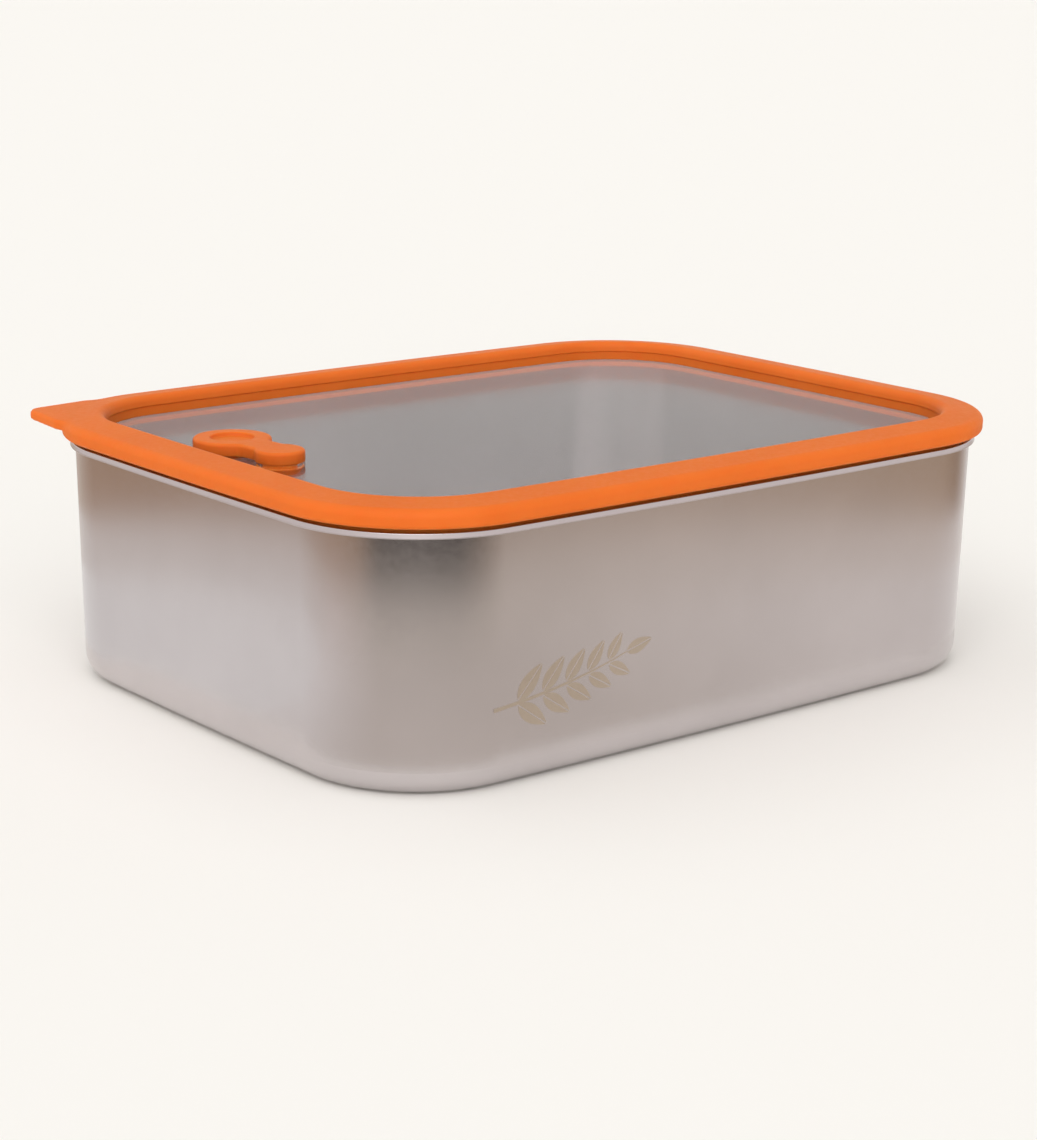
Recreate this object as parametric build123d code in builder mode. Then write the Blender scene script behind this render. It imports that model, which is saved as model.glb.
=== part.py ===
from build123d import *

# Lunch box: a deep-drawn steel tub closed by a clear panel in a silicone seal frame, with a corner
# pull tab to peel the lid and a flip-up vent plug. Millimetres, +Z up, long sides along X.
# The origin is the centre of the base's underside.

import math
import os

# ---- plan: every section is this outline, drawn further in or out ----
rim_length = 198.6
rim_width = 149.6
long_side_bow = 1.5
short_side_bow = 0.9
rim_corner_radius = 33.3

# ---- tub ----
rim_top = 58.95
hem_height = 1.3
hem_edge_radius = 0.3
rim_overhang = 1.3
sheet = 0.5
wall_draft = 1.1
foot_radius = 6.0
mouth_radius = 1.1
neck_radius = 0.5

# ---- clear panel ----
panel_top = 60.3
panel_thickness = 2.2
panel_edge = 4.3
vent_hole_radius = 4.0
anchor_hole_radius = 5.2

# ---- seal frame section, as (out from the rim's edge, height over the rim's top, corner radius) ----
rim_gap = 0.45
skirt_face = -2.8
rib_tip = -2.15
skirt_bottom = -2.85
lip_edge = -8.5
panel_seat = panel_top - rim_top
lower_seat = panel_seat - panel_thickness
bulge = 1.9
crown = [
    (0.1, 0.95, 0.25),
    (1.7, 1.4, 1.0),
    (bulge, 5.35, 2.0),
    (-8.3, 6.55, 1.8),
    (-8.8, 3.85, 0.3),
    (lip_edge, 3.55, 0.1),
    (lip_edge, panel_seat, 0),
]
channel = [
    (-panel_edge, panel_seat, 0),
    (-panel_edge, lower_seat, 0),
    (lip_edge, lower_seat, 0),
]
skirt = [
    (-8.4, -2.05, 0.4),
    (-4.9, -2.25, 0.3),
    (-4.5, skirt_bottom, 0.2),
    (-3.1, skirt_bottom, 0.2),
    (skirt_face, -2.4, 0),
    (rib_tip, -1.95, 0.15),
    (skirt_face, -1.5, 0),
    (skirt_face, rim_gap, 0.2),
]

# ---- pull tab, on the diagonal of the corner over -X and +Y ----
tab_top = 64.3
tab_thickness = 2.4
tab_spread = 31.7
tab_reach = 40.4
tab_tip_radius = 3.7
tab_hinge_reach = 36.0
tab_edge_radius = 0.7
flex_gap = 0.1

# ---- vent plug, in its own frame: local X runs from the stopper's centre to the anchor's ----
stopper_centre = (-73.8, 20.4)
anchor_centre = (-72.5, 2.4)
cap_radius = 9.3
anchor_radius = 5.85
plug_height = 3.0
plug_edge_radius = 0.8
neck_half_width = 4.3
notch_radius = 2.6
hinge_from_stopper = 11.2
seat_gap = 0.15
recess_radius = 5.2
recess_depth = 1.1
stopper_top_radius = 3.75
stopper_tip_radius = 2.5
stopper_length = 3.7
stem_radius = 5.1
barb_radius = 5.7
barb_length = 2.0
barb_taper = 30.0

# ---- how near an edge or corner must lie to be picked ----
pick_distance = 0.15
flat_slope = 0.5

# ---- worked out ----
half_length = rim_length / 2
half_width = rim_width / 2
long_side_radius = (half_length**2 + long_side_bow**2) / (2 * long_side_bow)
short_side_radius = (half_width**2 + short_side_bow**2) / (2 * short_side_bow)
flange_underside = rim_top - hem_height
draft_slope = math.tan(math.radians(wall_draft))
foot_inset = rim_overhang + flange_underside * draft_slope
inner_foot_inset = foot_inset + sheet - sheet * draft_slope
diagonal = Vector(-1, 1).normalized()
vent_direction = (Vector(*anchor_centre) - Vector(*stopper_centre)).normalized()
anchor_reach = (Vector(*anchor_centre) - Vector(*stopper_centre)).length


def outline(inset=0.0):
    """The plan of the box, inset from the rim's outer edge: slightly bowed sides and round corners."""
    with BuildSketch(mode=Mode.PRIVATE) as plan:
        with Locations((0, long_side_radius - half_width - long_side_bow)):
            Circle(long_side_radius - inset)
        with Locations((0, half_width + long_side_bow - long_side_radius)):
            Circle(long_side_radius - inset, mode=Mode.INTERSECT)
        with Locations((short_side_radius - half_length - short_side_bow, 0)):
            Circle(short_side_radius - inset, mode=Mode.INTERSECT)
        with Locations((half_length + short_side_bow - short_side_radius, 0)):
            Circle(short_side_radius - inset, mode=Mode.INTERSECT)
        fillet(plan.vertices(), rim_corner_radius - inset)
    return plan.sketch


def diagonal_plane(reach, height):
    """Plane square to the tab's diagonal, local X along the tab, at a distance from the corner's centre."""
    corner = outline().edges().sort_by_distance((-half_length, half_width))[0]
    point = corner.arc_center + diagonal * reach
    return Plane((point.X, point.Y, height), x_dir=diagonal, z_dir=(0, 0, 1))


def vent_plane(height):
    """Plane over the stopper's centre, local X towards the anchor."""
    return Plane((*stopper_centre, height), x_dir=vent_direction, z_dir=(0, 0, 1))


def make_tub():
    """One sheet drawn into a tapered tub, turned out at the mouth and hemmed all round."""
    with BuildPart() as cavity:
        with BuildSketch(Plane.XY.offset(sheet)):
            add(outline(inner_foot_inset))
        extrude(amount=rim_top - sheet, taper=-wall_draft)
        fillet(cavity.faces().sort_by(Axis.Z)[0].edges(), foot_radius - sheet)
    with BuildPart() as tub:
        with BuildSketch():
            add(outline(foot_inset))
        extrude(amount=flange_underside, taper=-wall_draft)
        fillet(tub.faces().sort_by(Axis.Z)[0].edges(), foot_radius)
        with BuildSketch(Plane.XY.offset(flange_underside)):
            add(outline())
        extrude(amount=hem_height)
        hem_edges = tub.edges().filter_by(lambda e: e.center().Z > flange_underside - sheet)
        fillet([e for e in hem_edges if is_on_outline(e, 0.0)], hem_edge_radius)
        fillet([e for e in hem_edges if is_on_outline(e, rim_overhang)], neck_radius)
        add(cavity.part, mode=Mode.SUBTRACT)
        mouth = tub.faces().filter_by(Axis.Z).sort_by(Axis.Z)[-1].inner_wires()[0]
        fillet(mouth.edges(), mouth_radius)
    tub.part.label = "tub"
    return tub.part


def is_on_outline(edge, inset):
    """Whether an edge's middle lies on the plan drawn with that inset."""
    middle = edge.position_at(0.5)
    flat = Vector(middle.X, middle.Y, 0)
    return outline(inset).face().outer_wire().distance_to(flat) < pick_distance


def make_lid_panel():
    """The clear panel, with one hole for the stopper and one for the plug's anchor."""
    with BuildPart() as lid_panel:
        with BuildSketch(Plane.XY.offset(panel_top - panel_thickness)):
            add(outline(panel_edge))
        extrude(amount=panel_thickness)
        with Locations(vent_plane(panel_top)):
            Hole(vent_hole_radius)
            with Locations((anchor_reach, 0)):
                Hole(anchor_hole_radius)
    lid_panel.part.label = "lid_panel"
    return lid_panel.part


def tab_outline(first_reach, last_reach):
    """The tab's plan between two distances along its diagonal: straight flanks to a round tip."""
    spread = math.radians(tab_spread)
    frame_radius = rim_corner_radius + bulge
    root = (frame_radius * math.cos(spread), frame_radius * math.sin(spread))
    tip_turn = math.radians(90) - math.atan2(root[1] - tab_tip_radius, tab_reach - root[0])
    tip = (
        tab_reach + tab_tip_radius * math.cos(tip_turn),
        tab_tip_radius * math.sin(tip_turn),
    )
    with BuildSketch(mode=Mode.PRIVATE) as plan:
        with BuildLine():
            Polyline((root[0], -root[1]), root, tip)
            ThreePointArc(tip, (tab_reach + tab_tip_radius, 0), (tip[0], -tip[1]))
            Line((tip[0], -tip[1]), (root[0], -root[1]))
        make_face()
        with Locations(((first_reach + last_reach) / 2, 0)):
            Rectangle(last_reach - first_reach, 2 * rim_corner_radius, mode=Mode.INTERSECT)
    return plan.sketch


def make_seal_frame():
    """Silicone frame: a crowned top, a channel round the panel's edge and a ribbed skirt in the mouth."""
    section = crown + channel + skirt
    rim_line = outline().face().outer_wire()
    along = rim_line % 0
    outward = along.cross(Vector(0, 0, 1))
    start = rim_line @ 0
    section_plane = Plane((start.X, start.Y, rim_top), x_dir=outward, z_dir=-along)
    with BuildPart() as seal_frame:
        with BuildSketch(section_plane) as profile:
            with BuildLine():
                points = [(out, height) for out, height, radius in section]
                radii = [radius for out, height, radius in section]
                FilletPolyline(*points, radius=radii, close=True)
            make_face()
        sweep(path=rim_line.moved(Location((0, 0, rim_top))))
        with BuildSketch(diagonal_plane(0, tab_top - tab_thickness)):
            add(tab_outline(0, tab_hinge_reach - flex_gap))
        extrude(amount=tab_thickness)
    seal_frame.part.label = "seal_frame"
    return seal_frame.part


def make_pull_tab():
    """The tongue beyond the flex line; it lifts about the frame's top edge when pulled."""
    with BuildPart() as pull_tab:
        with BuildSketch(diagonal_plane(0, tab_top - tab_thickness)):
            add(tab_outline(tab_hinge_reach + flex_gap, tab_reach + tab_tip_radius))
        extrude(amount=tab_thickness)
        root_face = pull_tab.faces().sort_by(Axis((0, 0, 0), diagonal))[0]
        long_edges = pull_tab.edges().filter_by(lambda e: abs(e.tangent_at(0.5).Z) < flat_slope)
        long_edges = [e for e in long_edges if root_face.distance_to(e.position_at(0.5)) > flex_gap]
        fillet(long_edges, tab_edge_radius)
    pull_tab.part.label = "pull_tab"
    return pull_tab.part


def plug_outline(centre, radius, neck_end):
    """A round end with a straight neck running to the flex line, and a soft notch where they meet."""
    with BuildSketch(mode=Mode.PRIVATE) as plan:
        with Locations((centre, 0)):
            Circle(radius)
        with Locations(((centre + neck_end) / 2, 0)):
            Rectangle(abs(neck_end - centre), 2 * neck_half_width)
        corners = plan.vertices().filter_by(lambda v: abs(abs(v.Y) - neck_half_width) < pick_distance)
        notch = [v for v in corners if abs(v.X - neck_end) > pick_distance]
        fillet(notch, notch_radius)
    return plan.sketch


def make_vent_anchor():
    """The small end: it lies on the panel and is held by a barbed stem through it."""
    with BuildPart() as vent_anchor:
        with BuildSketch(vent_plane(panel_top)):
            add(plug_outline(anchor_reach, anchor_radius, hinge_from_stopper + flex_gap))
        extrude(amount=plug_height)
        fillet(vent_anchor.faces().sort_by(Axis.Z)[-1].edges(), plug_edge_radius)
        with BuildSketch(vent_plane(panel_top)):
            with Locations((anchor_reach, 0)):
                Circle(stem_radius)
        extrude(amount=-panel_thickness)
        with BuildSketch(vent_plane(panel_top - panel_thickness)):
            with Locations((anchor_reach, 0)):
                Circle(barb_radius)
        extrude(amount=-barb_length, taper=barb_taper)
    vent_anchor.part.label = "vent_anchor"
    return vent_anchor.part


def make_vent_flap():
    """The big end: a finger cap with a shallow recess and a tapered stopper that plugs the vent hole."""
    base = panel_top + seat_gap
    with BuildPart() as vent_flap:
        with BuildSketch(vent_plane(base)):
            add(plug_outline(0, cap_radius, hinge_from_stopper - flex_gap))
        extrude(amount=plug_height - seat_gap)
        top = vent_flap.faces().sort_by(Axis.Z)[-1]
        fillet(top.edges(), plug_edge_radius)
        with BuildSketch(vent_plane(panel_top + plug_height)):
            Circle(recess_radius)
        extrude(amount=-recess_depth, mode=Mode.SUBTRACT)
        with BuildSketch(vent_plane(base)):
            Circle(stopper_top_radius)
        with BuildSketch(vent_plane(panel_top - stopper_length)):
            Circle(stopper_tip_radius)
        loft()
    vent_flap.part.label = "vent_flap"
    return vent_flap.part


os.makedirs("parts", exist_ok=True)
pieces = [
    make_tub(),
    make_lid_panel(),
    make_seal_frame(),
    make_pull_tab(),
    make_vent_anchor(),
    make_vent_flap(),
]
for piece in pieces:
    export_step(piece, f"parts/{piece.label}.step")
    print(piece.label, round(piece.volume), piece.is_valid)
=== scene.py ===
"""Looks of the lunch box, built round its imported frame.

Lengths are millimetres until new_piece() turns them into metres. A section is a list of (out, height)
points: how far out from the rim's outer edge, and how far over the underside of the base.
"""

import math

import bmesh
import bpy
from mathutils import Matrix, Vector
from mathutils.geometry import delaunay_2d_cdt


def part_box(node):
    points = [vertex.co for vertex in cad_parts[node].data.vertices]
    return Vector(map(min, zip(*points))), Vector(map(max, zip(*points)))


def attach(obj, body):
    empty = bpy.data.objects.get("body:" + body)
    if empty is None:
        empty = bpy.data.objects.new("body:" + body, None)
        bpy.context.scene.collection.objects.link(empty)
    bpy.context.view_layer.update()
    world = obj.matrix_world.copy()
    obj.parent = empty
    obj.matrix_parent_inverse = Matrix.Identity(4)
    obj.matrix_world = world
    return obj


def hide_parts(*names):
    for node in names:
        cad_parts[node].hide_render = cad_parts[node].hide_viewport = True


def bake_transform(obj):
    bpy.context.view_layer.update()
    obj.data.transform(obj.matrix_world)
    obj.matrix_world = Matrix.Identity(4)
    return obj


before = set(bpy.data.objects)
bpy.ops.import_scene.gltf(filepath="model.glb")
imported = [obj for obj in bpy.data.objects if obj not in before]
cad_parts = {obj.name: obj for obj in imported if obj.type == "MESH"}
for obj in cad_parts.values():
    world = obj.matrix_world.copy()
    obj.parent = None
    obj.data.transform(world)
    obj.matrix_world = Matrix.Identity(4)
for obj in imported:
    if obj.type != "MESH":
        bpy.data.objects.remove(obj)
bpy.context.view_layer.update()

MM = 0.001
same_point = 0.02  # points closer than this are one

# ---- plan of the box: bowed sides and round corners, as in the frame ----
half_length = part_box("tub")[1].x / MM
half_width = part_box("tub")[1].y / MM
rim_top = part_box("tub")[1].z / MM
long_side_bow = 1.5
short_side_bow = 0.9
corner_radius = 33.3

# ---- tub: at the rim the sheet is folded out and down, with an open gap inside the fold ----
sheet = 0.5
hem_height = 1.3
hem_gap = 0.4
hem_lean = 0.32
hem_fold_drop = 0.45
rim_overhang = 1.3
wall_draft = math.tan(math.radians(1.1))
foot_radius = 6.0
mouth_radius = 1.1
base_dish = 0.4
dish_middle = -30
dish_start = 12
dish_end = 14
dish_radius = 3
flat_margin = 0.12

# ---- etched leaf, in x and z on the wall over -Y; a share is a part of the stem's length ----
sprig_base = Vector((-69.5, 18.5))
sprig_bend = Vector((-48.0, 20.5))
sprig_tip = Vector((-32.5, 25.5))
etch_proud = 0.02
etch_sunk = 0.12
stem_half_width = 0.45
stem_taper = 0.3
stem_steps = 24
leaf_pairs = 5
first_leaf_share = 0.14
leaf_spacing_share = 0.17
leaf_spread = 42
leaf_stalk = 0.9
leaf_length = 9.6
leaf_shrink = 0.7
tip_leaf_length = 7.5
leaf_swell = 0.2
leaf_edge = 0.03
vein_half_width = 0.14
leaf_steps = 14

# ---- panel, seal frame and pull tab; the tab's outline is measured from the corner's centre ----
panel_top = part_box("lid_panel")[1].z / MM
panel_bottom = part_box("lid_panel")[0].z / MM
panel_edge = -4.3
panel_gap = 0.04
tab_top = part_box("pull_tab")[1].z / MM
tab_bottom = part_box("pull_tab")[0].z / MM
tab_spread = math.radians(31.7)
tab_reach = 40.4
tab_tip_radius = 3.7
tab_edge_radius = 0.7
tab_turn = 135.0
tab_merge = 2.0
bulge = 1.9
outer_wall_points = 34

# ---- seal frame's section: (out, height over the rim's top), and the radius of a rounded corner ----
low_wall_corner = (1.76, 2.6)
on_top_corner = (-1.7, 5.77)
shoulder_corner = (bulge, 5.35, 2.0)
inner_crown_corners = [(-8.3, 6.55, 1.8), (-8.8, 3.85, 0.3), (-8.45, 3.55, 0.12)]
lip_edge = -8.5
skirt_corners = [
    (-8.4, -2.05, 0.4),
    (-4.9, -2.25, 0.3),
    (-4.5, -2.85, 0.2),
    (-3.1, -2.85, 0.2),
    (-2.8, -2.4, 0.1),
    (-2.15, -1.95, 0.15),
    (-2.8, -1.5, 0.1),
    (-2.8, 0.45, 0.2),
    (0.1, 0.95, 0.25),
    (1.7, 1.4, 1.0),
]
underlip_corners = [(0.1, 0.93), (-2.75, 0.40), (-2.75, -1.2), (-2.9, -1.2), (-2.9, 0.55), (0.1, 1.05)]

# ---- vent plug ----
stopper_centre = Vector((-73.8, 20.4))
anchor_centre = Vector((-72.5, 2.4))
cap_radius = 9.3
anchor_radius = 5.85
plug_height = 3.0
neck_half_width = 4.3
notch_radius = 2.6
plug_edge = 0.8
plug_seat = 0.05
recess_radius = 5.2
recess_depth = 1.1
recess_lip = 0.45
recess_well = 0.7
hole_radius = 3.75
stem_radius = 5.05
circle_steps = 56
edge_steps = 6

# ---- surfaces: noise moves between the two tones and the two roughnesses; bump depths in metres ----
satin_tones = ((0.63, 0.592, 0.6), (0.60, 0.563, 0.57))
satin_roughness = (0.20, 0.23)
etched_tones = ((0.60, 0.525, 0.445), (0.56, 0.485, 0.405))
etched_roughness = (0.50, 0.60)
grain_depth = 0.0000015
silicone_tones = ((0.69, 0.142, 0.016), (0.72, 0.156, 0.020))
silicone_roughness = (0.50, 0.60)
wave_depth = 0.00012
skin_depth = 0.000006
panel_tint = (0.97, 0.98, 0.98)
panel_roughness = (0.05, 0.08)
panel_shadow = (0.86, 0.88, 0.88)
floor_colour = (0.905, 0.885, 0.85)
floor_size = 60

# ---- light: the world's strength at the horizon and overhead, and lamps as for make_sun() ----
world_strength = (0.94, 0.30)
overhead = 0.9
world_colour = (1.0, 0.985, 0.96)
backdrop_colour = (0.956, 0.930, 0.887)
key_light = (1.1, 14, 150, 90)
fill_light = (1.6, 60, 230, 60)

# ---- cards that only gloss sees: (out, height) of both edges, then stops of (turn from +X, colour) ----
haze_card = [(150, 50), (150, 170)]
haze_tones = [(0, (0.84, 0.77, 0.75)), (90, (0.84, 0.77, 0.75))]
low_card = [(150, 0), (150, 50)]
low_tones = [
    (-178, (0.44, 0.29, 0.195)),
    (-164, (0.34, 0.22, 0.14)),
    (-153, (0.03, 0.02, 0.012)),
    (-112, (0.02, 0.014, 0.01)),
    (-74, (0.50, 0.385, 0.295)),
    (-35, (0.48, 0.345, 0.24)),
    (-20, (0.38, 0.26, 0.18)),
    (0, (0.80, 0.75, 0.71)),
    (50, (0.85, 0.83, 0.80)),
    (110, (0.60, 0.50, 0.42)),
    (135, (0.44, 0.29, 0.195)),
]
far_floor_card = [(85, 0.6), (150, 0.6)]
far_floor_tones = [
    (-175, (0.80, 0.74, 0.70)),
    (-150, (0.68, 0.62, 0.55)),
    (-96, (0.68, 0.62, 0.55)),
    (-50, (0.75, 0.68, 0.62)),
    (0, (0.85, 0.80, 0.76)),
    (130, (0.77, 0.72, 0.68)),
]
near_floor_card = [(14, 0.4), (85, 0.4)]
near_floor_tones = [
    (-175, (0.85, 0.81, 0.78)),
    (-150, (0.66, 0.60, 0.545)),
    (-96, (0.66, 0.60, 0.545)),
    (-50, (0.81, 0.76, 0.72)),
    (0, (0.90, 0.87, 0.84)),
    (130, (0.89, 0.87, 0.85)),
]

# ---- camera: angles in degrees, lens and sensor as on a 35 mm camera ----
camera_azimuth = -39.42
camera_elevation = 14.474
camera_roll = 0.739
camera_target = (2.24, 6.147, 22.062)
camera_distance = 646.01
camera_lens = 80.41
camera_sensor = 36


# ------------------------------------------------------------------ meshes
def new_piece(name, points, faces, material, sharp_over=50.0):
    """A mesh from points in millimetres, smooth but for edges sharper than an angle."""
    mesh = bpy.data.meshes.new(name)
    mesh.from_pydata([Vector(point) * MM for point in points], [], faces)
    shell = bmesh.new()
    shell.from_mesh(mesh)
    bmesh.ops.recalc_face_normals(shell, faces=shell.faces)
    shell.to_mesh(mesh)
    shell.free()
    mesh.shade_smooth()
    mesh.set_sharp_from_angle(angle=math.radians(sharp_over))
    mesh.materials.append(material)
    piece = bpy.data.objects.new(name, mesh)
    bpy.context.scene.collection.objects.link(piece)
    return piece


def weld(piece):
    """Joins the points that lie on one another and turns all faces outwards."""
    shell = bmesh.new()
    shell.from_mesh(piece.data)
    bmesh.ops.remove_doubles(shell, verts=shell.verts, dist=0.000001)
    bmesh.ops.recalc_face_normals(shell, faces=shell.faces)
    shell.to_mesh(piece.data)
    shell.free()


def ring_faces(first, second, count):
    """Quads between two closed rings of points, given by the index of each ring's first point."""
    steps = [(k, (k + 1) % count) for k in range(count)]
    return [(first + k, first + n, second + n, second + k) for k, n in steps]


def rounded(corners, steps=6):
    """Section through (out, height, radius) corners; all but the ends become arcs of their radius."""
    points = []
    for i, (out, height, radius) in enumerate(corners):
        here = Vector((out, height))
        if radius == 0 or i in (0, len(corners) - 1):
            points.append(here)
            continue
        back = (Vector(corners[i - 1][:2]) - here).normalized()
        onward = (Vector(corners[i + 1][:2]) - here).normalized()
        half = back.angle(onward) / 2
        centre = here + (back + onward).normalized() * radius / math.sin(half)
        first = here + back * radius / math.tan(half) - centre
        turn = first.angle_signed(here + onward * radius / math.tan(half) - centre)
        for k in range(steps + 1):
            points.append(centre + Matrix.Rotation(-turn * k / steps, 2) @ first)
    return points


def finer(points, longest):
    """The same section with its long runs divided, and held flat right up to the arcs at their ends."""
    out = [points[0]]
    for start, end in zip(points, points[1:]):
        length = (end - start).length
        pieces = max(1, math.ceil(length / longest))
        shares = [k / pieces for k in range(1, pieces)]
        if length > 4 * flat_margin:
            shares = sorted(shares + [flat_margin / length, 1 - flat_margin / length])
        out += [start.lerp(end, share) for share in shares] + [end]
    return out


# ------------------------------------------------------------------ plan
def side_radius(half_side, bow):
    """Radius of a side bowed by so much over its half length."""
    return (half_side**2 + bow**2) / (2 * bow)


long_radius = side_radius(half_length - short_side_bow, long_side_bow)
short_radius = side_radius(half_width - long_side_bow, short_side_bow)
half_width_to_centre = long_radius - half_width


def find_corner():
    """Centre of the corner arcs over +X and +Y: it is one corner radius inside both bowed sides."""
    x, y = half_length - corner_radius, half_width - corner_radius
    rounds = 30
    for _ in range(rounds):
        y = half_width - long_radius + math.sqrt((long_radius - corner_radius) ** 2 - x**2)
        x = half_length - short_radius + math.sqrt((short_radius - corner_radius) ** 2 - y**2)
    return Vector((x, y))


corner = find_corner()
corner_start = math.degrees(math.atan2(corner.y, corner.x + short_radius - half_length))
corner_end = math.degrees(math.atan2(corner.y + long_radius - half_width, corner.x))


def heading(turn):
    """Unit vector at an angle from +X, in degrees."""
    return Vector((math.cos(math.radians(turn)), math.sin(math.radians(turn))))


def rim_point(turn):
    """Point of the rim's outer edge whose outward normal has this turn."""
    normal = heading(turn)
    quarter = math.degrees(math.atan2(abs(normal.y), abs(normal.x)))
    centre, radius = corner, corner_radius
    if quarter < corner_start:
        centre, radius = Vector((half_length - short_radius, 0)), short_radius
    elif quarter > corner_end:
        centre, radius = Vector((0, half_width - long_radius)), long_radius
    return Vector(
        (
            math.copysign(centre.x + radius * abs(normal.x), normal.x),
            math.copysign(centre.y + radius * abs(normal.y), normal.y),
        )
    )


def rim_turns(corner_steps, side_steps, tab_steps):
    """Turns at which a section stands round the plan; the corner with the tab has its own step count."""
    turns = []
    for quarter in range(4):
        start, end = corner_start, corner_end
        if quarter % 2:
            start, end = 90 - corner_end, 90 - corner_start
        steps = tab_steps if quarter == 1 else corner_steps
        turns += [90 * quarter + start + (end - start) * k / steps for k in range(steps)]
        side = 2 * (90 - end)
        turns += [90 * quarter + end + side * k / side_steps for k in range(side_steps)]
    return turns


def carry_round(section_at, turns):
    """A section stood at each turn of the plan; returns points, quads and the points per section."""
    points, faces = [], []
    for turn in turns:
        edge, normal = rim_point(turn), heading(turn)
        section = section_at(turn)
        points += [(*(edge + normal * out), height) for out, height in section]
    count = len(section)
    for i in range(len(turns)):
        here, there = i * count, (i + 1) % len(turns) * count
        faces += [(here + k, here + k + 1, there + k + 1, there + k) for k in range(count - 1)]
    return points, faces, count


# ------------------------------------------------------------------ material helpers
def new_material(name):
    """An empty node material with its output; returns the material, its nodes and its links."""
    material = bpy.data.materials.new(name)
    material.use_nodes = True
    nodes, links = material.node_tree.nodes, material.node_tree.links
    nodes.clear()
    output = nodes.new("ShaderNodeOutputMaterial")
    return material, nodes, links, output


def noise(nodes, links, scale, detail):
    """Noise fixed to the piece's own place, with its scale per metre of the frame."""
    where = nodes.new("ShaderNodeTexCoord")
    texture = nodes.new("ShaderNodeTexNoise")
    texture.inputs["Scale"].default_value = scale
    texture.inputs["Detail"].default_value = detail
    links.new(where.outputs["Object"], texture.inputs["Vector"])
    return texture.outputs["Fac"]


def ranged(nodes, links, value, low, high, from_low=0.3, from_high=0.7):
    """A noise or height turned into a number between two ends, over the part of its range given."""
    node = nodes.new("ShaderNodeMapRange")
    node.inputs["From Min"].default_value = from_low
    node.inputs["From Max"].default_value = from_high
    node.inputs["To Min"].default_value = low
    node.inputs["To Max"].default_value = high
    links.new(value, node.inputs["Value"])
    return node.outputs["Result"]


def blended(nodes, links, factor, first, second):
    """A colour between two, by a factor socket."""
    node = nodes.new("ShaderNodeMix")
    node.data_type = "RGBA"
    node.inputs["A"].default_value = (*first, 1)
    node.inputs["B"].default_value = (*second, 1)
    links.new(factor, node.inputs["Factor"])
    return node.outputs["Result"]


def bumped(nodes, links, layers):
    """A normal raised by several (height socket, depth in metres) layers, one over the other."""
    normal = None
    for height, depth in layers:
        bump = nodes.new("ShaderNodeBump")
        bump.inputs["Strength"].default_value = 1.0
        bump.inputs["Distance"].default_value = depth
        links.new(height, bump.inputs["Height"])
        if normal:
            links.new(normal, bump.inputs["Normal"])
        normal = bump.outputs["Normal"]
    return normal


# ------------------------------------------------------------------ materials
def make_steel(name, tones, roughness):
    """Satin stainless steel: fine rolled grain, cloudy roughness and a faint warm mottle."""
    material, nodes, links, output = new_material(name)
    shader = nodes.new("ShaderNodeBsdfPrincipled")
    shader.inputs["Metallic"].default_value = 1.0
    cloud = noise(nodes, links, 45, 3)
    grain = noise(nodes, links, 2600, 2)
    handled = noise(nodes, links, 700, 4)
    colour = blended(nodes, links, ranged(nodes, links, cloud, 0, 1), *tones)
    links.new(colour, shader.inputs["Base Color"])
    links.new(ranged(nodes, links, handled, *roughness), shader.inputs["Roughness"])
    links.new(bumped(nodes, links, [(grain, grain_depth)]), shader.inputs["Normal"])
    links.new(shader.outputs["BSDF"], output.inputs["Surface"])
    return material


def make_silicone():
    """Soft orange silicone: matt skin with a faint cloudiness and very fine mould texture."""
    material, nodes, links, output = new_material("orange_silicone")
    shader = nodes.new("ShaderNodeBsdfPrincipled")
    shader.inputs["Specular IOR Level"].default_value = 0.12
    shader.inputs["Subsurface Weight"].default_value = 0.5
    shader.inputs["Subsurface Radius"].default_value = (1.0, 0.35, 0.15)
    shader.inputs["Subsurface Scale"].default_value = 0.004
    cloud = noise(nodes, links, 60, 4)
    dust = noise(nodes, links, 900, 3)
    skin = noise(nodes, links, 2200, 2)
    colour = blended(nodes, links, ranged(nodes, links, cloud, 0, 1), *silicone_tones)
    links.new(colour, shader.inputs["Base Color"])
    links.new(ranged(nodes, links, dust, *silicone_roughness), shader.inputs["Roughness"])
    normal = bumped(nodes, links, [(cloud, wave_depth), (skin, skin_depth)])
    links.new(normal, shader.inputs["Normal"])
    links.new(shader.outputs["BSDF"], output.inputs["Surface"])
    return material


def make_clear():
    """Clear panel: a glossy plastic pane with faint rub marks; lamps shine through it."""
    material, nodes, links, output = new_material("clear_panel")
    shader = nodes.new("ShaderNodeBsdfPrincipled")
    shader.inputs["Base Color"].default_value = (*panel_tint, 1)
    shader.inputs["Transmission Weight"].default_value = 1.0
    shader.inputs["IOR"].default_value = 1.17
    rub = noise(nodes, links, 160, 6)
    links.new(ranged(nodes, links, rub, *panel_roughness), shader.inputs["Roughness"])
    clear = nodes.new("ShaderNodeBsdfTransparent")
    clear.inputs["Color"].default_value = (*panel_shadow, 1)
    path = nodes.new("ShaderNodeLightPath")
    mix = nodes.new("ShaderNodeMixShader")
    links.new(path.outputs["Is Shadow Ray"], mix.inputs["Fac"])
    links.new(shader.outputs["BSDF"], mix.inputs[1])
    links.new(clear.outputs["BSDF"], mix.inputs[2])
    links.new(mix.outputs["Shader"], output.inputs["Surface"])
    return material


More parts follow.
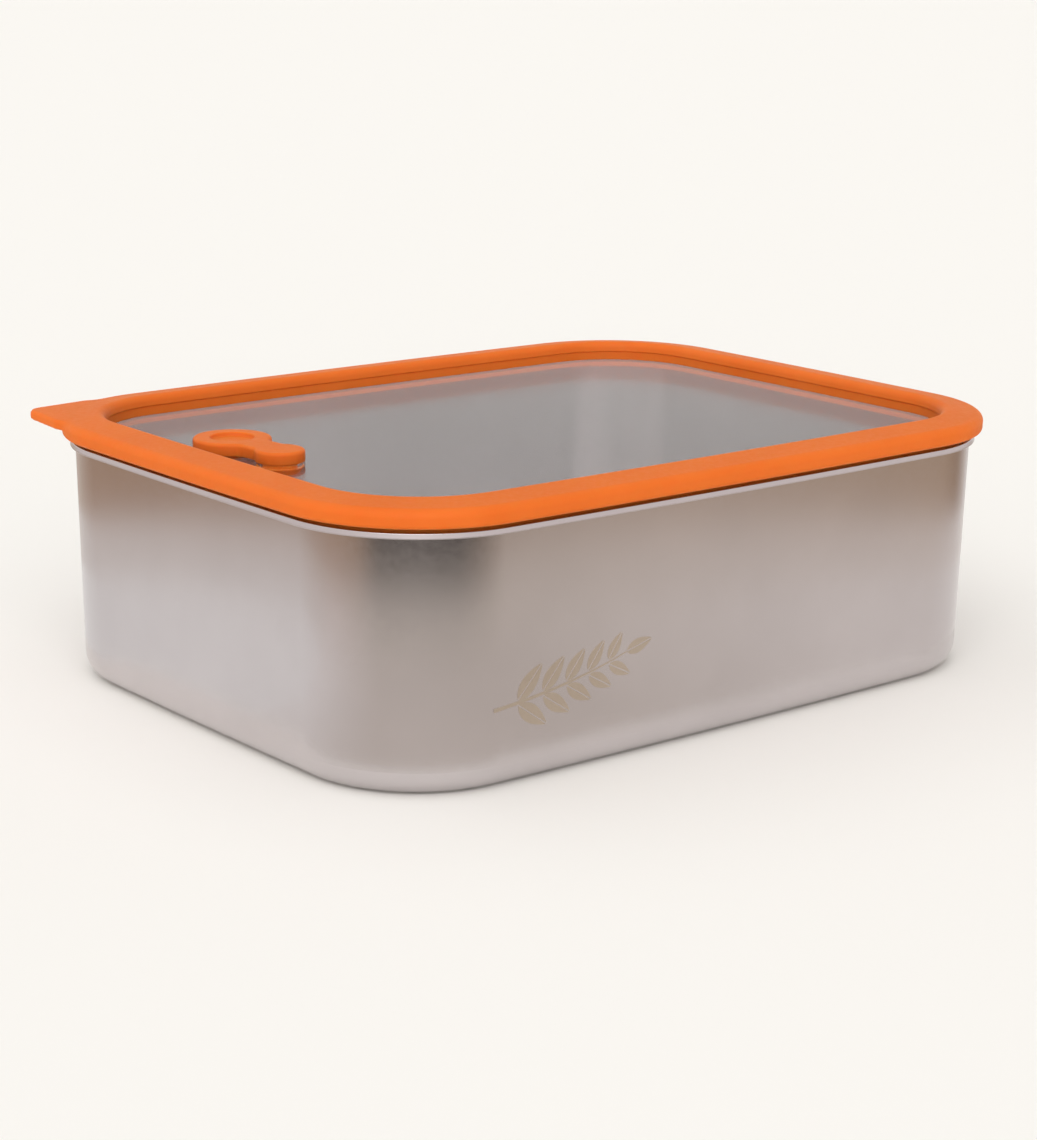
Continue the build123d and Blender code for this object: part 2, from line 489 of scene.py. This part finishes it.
# ------------------------------------------------------------------ tub
def tub_section():
    """One sheet from the middle of the base, up the wall, round the hem and down inside to the floor."""
    under_hem = rim_top - hem_height
    foot = -(rim_overhang + under_hem * wall_draft)
    inner_foot = foot - sheet
    fold = rim_top - hem_fold_drop
    low, high = foot - dish_start, foot - dish_end
    base = [(dish_middle, base_dish, 0), (high, base_dish, dish_radius), (low, 0, dish_radius)]
    wall = [(foot, 0, foot_radius), (-rim_overhang, fold, 0.18)]
    hem = [
        (hem_gap - rim_overhang, fold, 0.05),
        (hem_gap - rim_overhang, under_hem, 0.12),
        (0, under_hem, 0.2),
        (-hem_lean, rim_top, 0.25),
    ]
    mouth = [(-rim_overhang - sheet, rim_top, mouth_radius)]
    floor = [
        (inner_foot, sheet, foot_radius - sheet),
        (low, sheet, dish_radius),
        (high, sheet + base_dish, dish_radius),
        (dish_middle, sheet + base_dish, 0),
    ]
    return finer(rounded(base + wall + hem + mouth + floor, steps=8), longest=8.0)


def make_tub(steel):
    """The drawn tub: its section carried round, and two faces over the middle of the base."""
    section = tub_section()
    turns = rim_turns(corner_steps=40, side_steps=16, tab_steps=40)
    points, faces, count = carry_round(lambda turn: section, turns)
    last = len(turns) * count
    faces.append(tuple(range(0, last, count)))
    faces.append(tuple(range(count - 1, last, count)))
    tub = new_piece("steel_tub", points, faces, steel, sharp_over=60)
    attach(tub, "tub")
    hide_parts("tub")


# ------------------------------------------------------------------ etched leaf on the marked side
def on_wall(x, z, proud):
    """Point of the tub's wall over -Y, so far proud of it."""
    inset = rim_overhang + (rim_top - hem_height - z) * wall_draft - proud
    return (x, half_width_to_centre - math.sqrt((long_radius - inset) ** 2 - x**2), z)


def make_leaf_motif(etched):
    """A sprig of leaves etched into the steel: a tapering stem with split blades in pairs."""
    points, faces = [], []

    def add_strip(edges):
        """A closed strip between two edges, given as pairs of flat (x, z) points along it."""
        first = len(points)
        for near, far in edges:
            points.extend(on_wall(*place, etch_proud) for place in (near, far))
            points.extend(on_wall(*place, -etch_sunk) for place in (far, near))
        for k in range(len(edges) - 1):
            faces.extend(ring_faces(first + 4 * k, first + 4 * k + 4, 4))
        last = len(points) - 4
        faces.append((first, first + 1, first + 2, first + 3))
        faces.append((last, last + 1, last + 2, last + 3))

    def stem_at(share):
        """Flat point of the bent stem at a share of its length."""
        return sprig_base.lerp(sprig_bend, share).lerp(sprig_bend.lerp(sprig_tip, share), share)

    def stem_onward(share):
        """The way the stem runs there."""
        return stem_at(share + 0.01) - stem_at(share - 0.01)

    def add_leaf(root, turn, length):
        """A leaf of two blades, with its vein left bare between them."""
        along = heading(turn)
        across = Vector((-along.y, along.x))
        for side in (-1, 1):
            edges = []
            for k in range(leaf_steps + 1):
                share = k / leaf_steps
                vein = root + along * length * share + across * side * vein_half_width
                swell = leaf_edge + length * leaf_swell * math.sin(math.pi * share**0.8) ** 0.9
                edges.append((vein, vein + across * side * swell))
            add_strip(edges)

    stem = []
    for k in range(stem_steps + 1):
        share = k / stem_steps
        middle, onward = stem_at(share), stem_onward(share)
        half = stem_half_width - stem_taper * share
        across = Vector((-onward.y, onward.x)).normalized() * half
        stem.append((middle - across, middle + across))
    add_strip(stem)
    for pair in range(leaf_pairs):
        share = first_leaf_share + leaf_spacing_share * pair
        onward = stem_onward(share)
        turn = math.degrees(math.atan2(onward.y, onward.x))
        for side in (-1, 1):
            spread = turn + side * leaf_spread
            root = stem_at(share) + heading(spread) * leaf_stalk
            add_leaf(root, spread, leaf_length - leaf_shrink * pair)
    add_leaf(sprig_tip, turn, tip_leaf_length)
    motif = new_piece("leaf_motif", points, faces, etched, sharp_over=30)
    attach(motif, "tub")


# ------------------------------------------------------------------ seal frame and pull tab
def tab_distance(turn):
    """Distance from the corner's centre to the tab's outline, or to the frame's own edge beside it."""
    frame_radius = corner_radius + bulge
    away = math.radians(turn - tab_turn)
    if abs(away) >= tab_spread:
        return frame_radius
    root = frame_radius * Vector((math.cos(tab_spread), math.sin(tab_spread)))
    slope = math.atan2(root.y - tab_tip_radius, tab_reach - root.x)
    tip = Vector((tab_reach, 0)) + tab_tip_radius * Vector((math.sin(slope), math.cos(slope)))
    side = math.tan(abs(away))
    if side < tip.y / tip.x:
        across = tab_reach * math.sin(away)
        return tab_reach * math.cos(away) + math.sqrt(tab_tip_radius**2 - across**2)
    flank = tip - root
    sight = Vector((math.cos(away), abs(math.sin(away))))
    return root.cross(flank) / sight.cross(flank)


def at_length(points, count):
    """So many points, evenly spaced along a run of points."""
    steps = [(b - a).length for a, b in zip(points, points[1:])]
    spaced = []
    for k in range(count):
        left = sum(steps) * k / (count - 1)
        i = 0
        while i < len(steps) - 1 and left > steps[i]:
            left -= steps[i]
            i += 1
        spaced.append(points[i].lerp(points[i + 1], min(1, left / steps[i])))
    return spaced


def over_rim(corners):
    """Corners with their heights over the rim's top turned into heights over the base."""
    return [(out, rim_top + height, *radius) for out, height, *radius in corners]


def frame_section_at(turn):
    """The frame's closed section at a turn; over the corner with the tab its outer wall reaches out."""
    low_wall, on_top, shoulder = over_rim([low_wall_corner, on_top_corner, shoulder_corner])
    first, last = (*low_wall, 0), (*on_top, 0)
    outer = at_length(rounded([first, shoulder, last], steps=10), outer_wall_points)
    beyond = tab_distance(turn) - corner_radius - bulge
    if beyond > same_point:
        edge = bulge + beyond
        tongue = rounded(
            [
                first,
                (bulge, tab_bottom, min(0.5, beyond / 3)),
                (edge, tab_bottom, min(tab_edge_radius, beyond / 3)),
                (edge, tab_top, 1.0),
                last,
            ],
            steps=8,
        )
        share = min(1, beyond / tab_merge)
        share = share * share * (3 - 2 * share)
        tongue = at_length(tongue, outer_wall_points)
        outer = [a.lerp(b, share) for a, b in zip(outer, tongue)]
    slot = panel_edge + panel_gap
    slot_top, slot_bottom = panel_top + panel_gap, panel_bottom - panel_gap
    inner_crown = [last, *over_rim(inner_crown_corners), (lip_edge, slot_top, 0.1), (slot, slot_top, 0)]
    skirt = [(slot, slot_bottom, 0), (lip_edge, slot_bottom, 0.1), *over_rim(skirt_corners), first]
    section = outer[:-1]
    for corners in (inner_crown, skirt):
        section += finer(rounded(corners), longest=4.0)
    return section


def make_seal_frame(silicone):
    """The frame and its pull tab as one skin, the tab's wall blending into the frame's at its root."""
    turns = rim_turns(corner_steps=40, side_steps=16, tab_steps=200)
    points, faces, _ = carry_round(frame_section_at, turns)
    frame_piece = new_piece("silicone_frame", points, faces, silicone, sharp_over=60)
    weld(frame_piece)
    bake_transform(frame_piece)
    # the real panel mirrors no frame; make_frame_underlip() is what the rim mirrors
    frame_piece.visible_glossy = False
    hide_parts("seal_frame", "pull_tab")


def make_frame_underlip(silicone):
    """A skin on the frame's underside and skirt: the part of the frame that the steel rim mirrors."""
    section = over_rim(underlip_corners + underlip_corners[:1])
    turns = rim_turns(corner_steps=24, side_steps=16, tab_steps=24)
    points, faces, _ = carry_round(lambda turn: section, turns)
    underlip = new_piece("frame_underlip", points, faces, silicone, sharp_over=40)
    weld(underlip)
    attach(underlip, "lid")


# ------------------------------------------------------------------ vent plug
def plug_outline():
    """Points and outward normals of the plug's plan; x runs from the stopper to the anchor."""
    anchor_x = (anchor_centre - stopper_centre).length
    notch_y = neck_half_width + notch_radius
    big = cap_radius + notch_radius
    small = anchor_radius + notch_radius
    big_notch = Vector((math.sqrt(big**2 - notch_y**2), notch_y))
    small_notch = Vector((anchor_x - math.sqrt(small**2 - notch_y**2), notch_y))
    big_turn = math.degrees(math.atan2(big_notch.y, big_notch.x))
    small_turn = math.degrees(math.atan2(small_notch.y, small_notch.x - anchor_x))
    arcs = [
        (Vector((0, 0)), cap_radius, big_turn, 360 - big_turn, 72),
        (Vector((big_notch.x, -notch_y)), -notch_radius, 180 - big_turn, 90, 10),
        (Vector((small_notch.x, -notch_y)), -notch_radius, 90, 180 - small_turn, 10),
        (Vector((anchor_x, 0)), anchor_radius, -small_turn, small_turn, 44),
        (small_notch, -notch_radius, 180 + small_turn, 270, 10),
        (big_notch, -notch_radius, 270, 180 + big_turn, 10),
    ]
    outline = []
    for centre, radius, start, end, steps in arcs:
        for k in range(steps + 1):
            way = heading(start + (end - start) * k / steps)
            outline.append((centre + way * abs(radius), way * math.copysign(1, radius)))
    kept = []
    for point, normal in outline:
        if not kept or (point - kept[-1][0]).length > same_point:
            kept.append((point, normal))
    if (kept[0][0] - kept[-1][0]).length < same_point:
        kept.pop()
    return kept


class Builder:
    """Gathers the points and faces of one piece."""

    def __init__(self):
        self.points, self.faces = [], []

    def ring(self, flat, height):
        """Adds a closed ring of flat points at one height and returns its first index."""
        first = len(self.points)
        self.points += [(x, y, height) for x, y in flat]
        return first

    def rings(self, rows):
        """Adds rings of equal count, joined one to the next; returns the first and last ring's index."""
        starts = [self.ring(flat, height) for flat, height in rows]
        count = len(rows[0][0])
        for first, second in zip(starts, starts[1:]):
            self.faces += ring_faces(first, second, count)
        return starts[0], starts[-1]

    def fill(self, loops, height, inner_points=(), keep=lambda middle: True):
        """Fills flat loops, given as (first index, count), with triangles and extra points between."""
        index = [first + k for first, count in loops for k in range(count)]
        flat = [Vector(self.points[i][:2]) for i in index]
        edges, offset = [], 0
        for first, count in loops:
            edges += [(offset + k, offset + (k + 1) % count) for k in range(count)]
            offset += count
        flat += [Vector(point) for point in inner_points]
        places, _, triangles, sources, _, _ = delaunay_2d_cdt(flat, edges, [], 1, 1e-6)
        name = {}
        for i, place in enumerate(places):
            source = sources[i][0] if sources[i] else None
            if source is not None and source < len(index):
                name[i] = index[source]
            else:
                name[i] = len(self.points)
                self.points.append((*place, height))
        for triangle in triangles:
            middle = sum((places[i] for i in triangle), Vector((0, 0))) / 3
            if keep(middle):
                self.faces.append(tuple(name[i] for i in triangle))


def circle(centre_x, radius):
    """Flat points of a circle on the plug's own line."""
    centre = Vector((centre_x, 0))
    turns = [360 * k / circle_steps for k in range(circle_steps)]
    return [tuple(centre + heading(turn) * radius) for turn in turns]


def make_vent_plug(silicone):
    """The plug as one skin: cap with its recess, neck, stopper and barbed stem."""
    outline = plug_outline()
    anchor_x = (anchor_centre - stopper_centre).length
    base, top = panel_top + plug_seat, panel_top + plug_height
    flare = hole_radius + 0.25

    def inset(amount):
        """The plug's plan, drawn in by so much."""
        return [tuple(point - normal * amount) for point, normal in outline]

    def turned(centre_x, profile):
        """Rings round an upright axis, from (radius, depth under the base) pairs."""
        return [(circle(centre_x, radius), base - down) for radius, down in profile]

    body = Builder()
    quarter = [math.radians(90 * k / edge_steps) for k in range(edge_steps + 1)]
    rows = [(inset(0.25), base), (inset(0.07), base + 0.07), (inset(0), base + 0.25)]
    rows += [
        (inset(plug_edge * (1 - math.cos(a))), top - plug_edge * (1 - math.sin(a))) for a in quarter
    ]
    bottom, crest = body.rings(rows)
    count = len(outline)
    dish = [
        (
            circle(0, recess_radius + recess_lip * (1 - math.sin(a))),
            top - recess_lip * (1 - math.cos(a)),
        )
        for a in quarter
    ]
    dish += [
        (
            circle(0, recess_radius - recess_well * (1 - math.cos(a))),
            top - recess_depth + recess_well * (1 - math.sin(a)),
        )
        for a in quarter
    ]
    rim, deep = body.rings(dish)
    middle = len(body.points)
    body.points.append((0, 0, top - recess_depth))
    body.faces += [(deep + k, deep + (k + 1) % circle_steps, middle) for k in range(circle_steps)]
    # extra points across the neck fill it with small even triangles; under it, they stop short of the
    # stem
    neck = [(9.6 + 0.5 * i, -2.8 + 0.7 * j) for i in range(9) for j in range(9)]
    body.fill(
        [(crest, count), (rim, circle_steps)],
        top,
        neck,
        lambda m: m.length > recess_radius + recess_lip,
    )
    stopper = [
        (flare, 0),
        (hole_radius, 0.2),
        (hole_radius, 1.0),
        (hole_radius + 0.15, 1.5),
        (hole_radius - 0.25, 2.1),
        (2.75, 3.2),
        (2.5, 3.45),
        (2.1, 3.6),
    ]
    barb = [
        (stem_radius, 0),
        (stem_radius, 2.3),
        (stem_radius + 0.4, 2.35),
        (stem_radius + 0.6, 2.6),
        (stem_radius - 0.4, 4.0),
        (stem_radius - 0.8, 4.2),
    ]
    stopper_ring, stopper_tip = body.rings(turned(0, stopper))
    barb_ring, barb_tip = body.rings(turned(anchor_x, barb))
    body.fill([(stopper_tip, circle_steps)], 0)
    body.fill([(barb_tip, circle_steps)], 0)
    body.fill(
        [(bottom, count), (stopper_ring, circle_steps), (barb_ring, circle_steps)],
        base,
        [place for place in neck if place[0] < anchor_x - stem_radius - 0.4],
        lambda m: m.length > flare and (m - Vector((anchor_x, 0))).length > stem_radius,
    )
    along = (anchor_centre - stopper_centre).normalized()
    across = Vector((-along.y, along.x))
    points = [(*(stopper_centre + along * x + across * y), z) for x, y, z in body.points]
    plug = new_piece("vent_plug", points, body.faces, silicone, sharp_over=50)
    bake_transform(plug)
    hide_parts("vent_anchor", "vent_flap")


# ------------------------------------------------------------------ stage, light and camera
def make_stage():
    """A plain pale floor, far larger than the view."""
    material, nodes, links, output = new_material("pale_floor")
    shader = nodes.new("ShaderNodeBsdfDiffuse")
    shader.inputs["Color"].default_value = (*floor_colour, 1)
    links.new(shader.outputs["BSDF"], output.inputs["Surface"])
    bpy.ops.mesh.primitive_plane_add(size=floor_size)
    floor = bpy.context.object
    floor.name = "floor"
    floor.data.materials.append(material)


def make_world():
    """Soft light from all round, brightest low down; the camera sees an even pale tone."""
    world = bpy.data.worlds.new("studio")
    bpy.context.scene.world = world
    world.use_nodes = True
    nodes, links = world.node_tree.nodes, world.node_tree.links
    nodes.clear()
    output = nodes.new("ShaderNodeOutputWorld")
    where = nodes.new("ShaderNodeTexCoord")
    parts = nodes.new("ShaderNodeSeparateXYZ")
    links.new(where.outputs["Generated"], parts.inputs["Vector"])
    strength = ranged(nodes, links, parts.outputs["Z"], *world_strength, 0.0, overhead)
    lit = nodes.new("ShaderNodeBackground")
    lit.inputs["Color"].default_value = (*world_colour, 1)
    links.new(strength, lit.inputs["Strength"])
    seen = nodes.new("ShaderNodeBackground")
    seen.inputs["Color"].default_value = (*backdrop_colour, 1)
    path = nodes.new("ShaderNodeLightPath")
    mix = nodes.new("ShaderNodeMixShader")
    links.new(path.outputs["Is Camera Ray"], mix.inputs["Fac"])
    links.new(lit.outputs["Background"], mix.inputs[1])
    links.new(seen.outputs["Background"], mix.inputs[2])
    links.new(mix.outputs["Shader"], output.inputs["Surface"])


def make_card_ring(name, edges, tones):
    """A ring of glowing card round the box, between two edges, seen only by gloss."""
    material, nodes, links, output = new_material(name)
    where = nodes.new("ShaderNodeTexCoord")
    round_box = nodes.new("ShaderNodeTexGradient")
    round_box.gradient_type = "RADIAL"
    links.new(where.outputs["Object"], round_box.inputs["Vector"])
    ramp = nodes.new("ShaderNodeValToRGB")
    links.new(round_box.outputs["Fac"], ramp.inputs["Fac"])
    # the gradient runs from 0 to 1 as the turn runs from -180 to 180 degrees
    stops = ramp.color_ramp.elements
    stops.remove(stops[-1])
    for turn, colour in tones:
        stop = stops.new((turn + 180) / 360)
        stop.color = (*colour, 1)
    stops.remove(stops[0])
    glow = nodes.new("ShaderNodeEmission")
    links.new(ramp.outputs["Color"], glow.inputs["Color"])
    links.new(glow.outputs["Emission"], output.inputs["Surface"])
    material.cycles.emission_sampling = "NONE"
    turns = rim_turns(corner_steps=8, side_steps=8, tab_steps=8)
    points, faces, _ = carry_round(lambda turn: edges, turns)
    cards = new_piece(name, points, faces, material)
    cards.visible_camera = False
    cards.visible_diffuse = False
    cards.visible_transmission = False
    cards.visible_shadow = False


def make_sun(name, strength, tilt, turn, width):
    """A broad, even lamp: tilt from overhead, the turn it comes from and its width, in degrees."""
    light = bpy.data.lights.new(name, "SUN")
    light.energy = strength
    light.angle = math.radians(width)
    sun = bpy.data.objects.new(name, light)
    aside = heading(turn) * math.sin(math.radians(tilt))
    from_where = Vector((*aside, math.cos(math.radians(tilt))))
    sun.rotation_mode = "QUATERNION"
    sun.rotation_quaternion = from_where.to_track_quat("Z", "Y")
    bpy.context.scene.collection.objects.link(sun)


def make_camera():
    """A long lens from over the front-left corner, a little rolled."""
    azimuth = math.radians(camera_azimuth)
    elevation = math.radians(camera_elevation)
    roll = math.radians(camera_roll)
    target = Vector(camera_target) * MM
    distance = camera_distance * MM
    back = Vector(
        (
            math.sin(azimuth) * math.cos(elevation),
            -math.cos(azimuth) * math.cos(elevation),
            math.sin(elevation),
        )
    )
    right = Vector((0, 0, 1)).cross(back).normalized()
    up = back.cross(right)
    rolled_right = right * math.cos(roll) + up * math.sin(roll)
    rolled_up = up * math.cos(roll) - right * math.sin(roll)
    camera = bpy.data.objects.new("camera", bpy.data.cameras.new("camera"))
    camera.data.sensor_width = camera_sensor
    camera.data.lens = camera_lens
    turn = Matrix((rolled_right, rolled_up, back)).transposed().to_4x4()
    camera.matrix_world = Matrix.Translation(target + back * distance) @ turn
    bpy.context.scene.collection.objects.link(camera)
    bpy.context.scene.camera = camera


steel = make_steel("satin_steel", satin_tones, satin_roughness)
etched = make_steel("etched_steel", etched_tones, etched_roughness)
silicone = make_silicone()
make_tub(steel)
make_leaf_motif(etched)
make_seal_frame(silicone)
make_frame_underlip(silicone)
make_vent_plug(silicone)
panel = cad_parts["lid_panel"]
panel.data.materials.clear()
panel.data.materials.append(make_clear())

make_stage()
make_world()
make_card_ring("haze_card", haze_card, haze_tones)
make_card_ring("low_card", low_card, low_tones)
make_card_ring("far_floor_card", far_floor_card, far_floor_tones)
make_card_ring("near_floor_card", near_floor_card, near_floor_tones)
make_sun("key", *key_light)
make_sun("fill", *fill_light)
make_camera()
bpy.context.scene.view_settings.view_transform = "Standard"
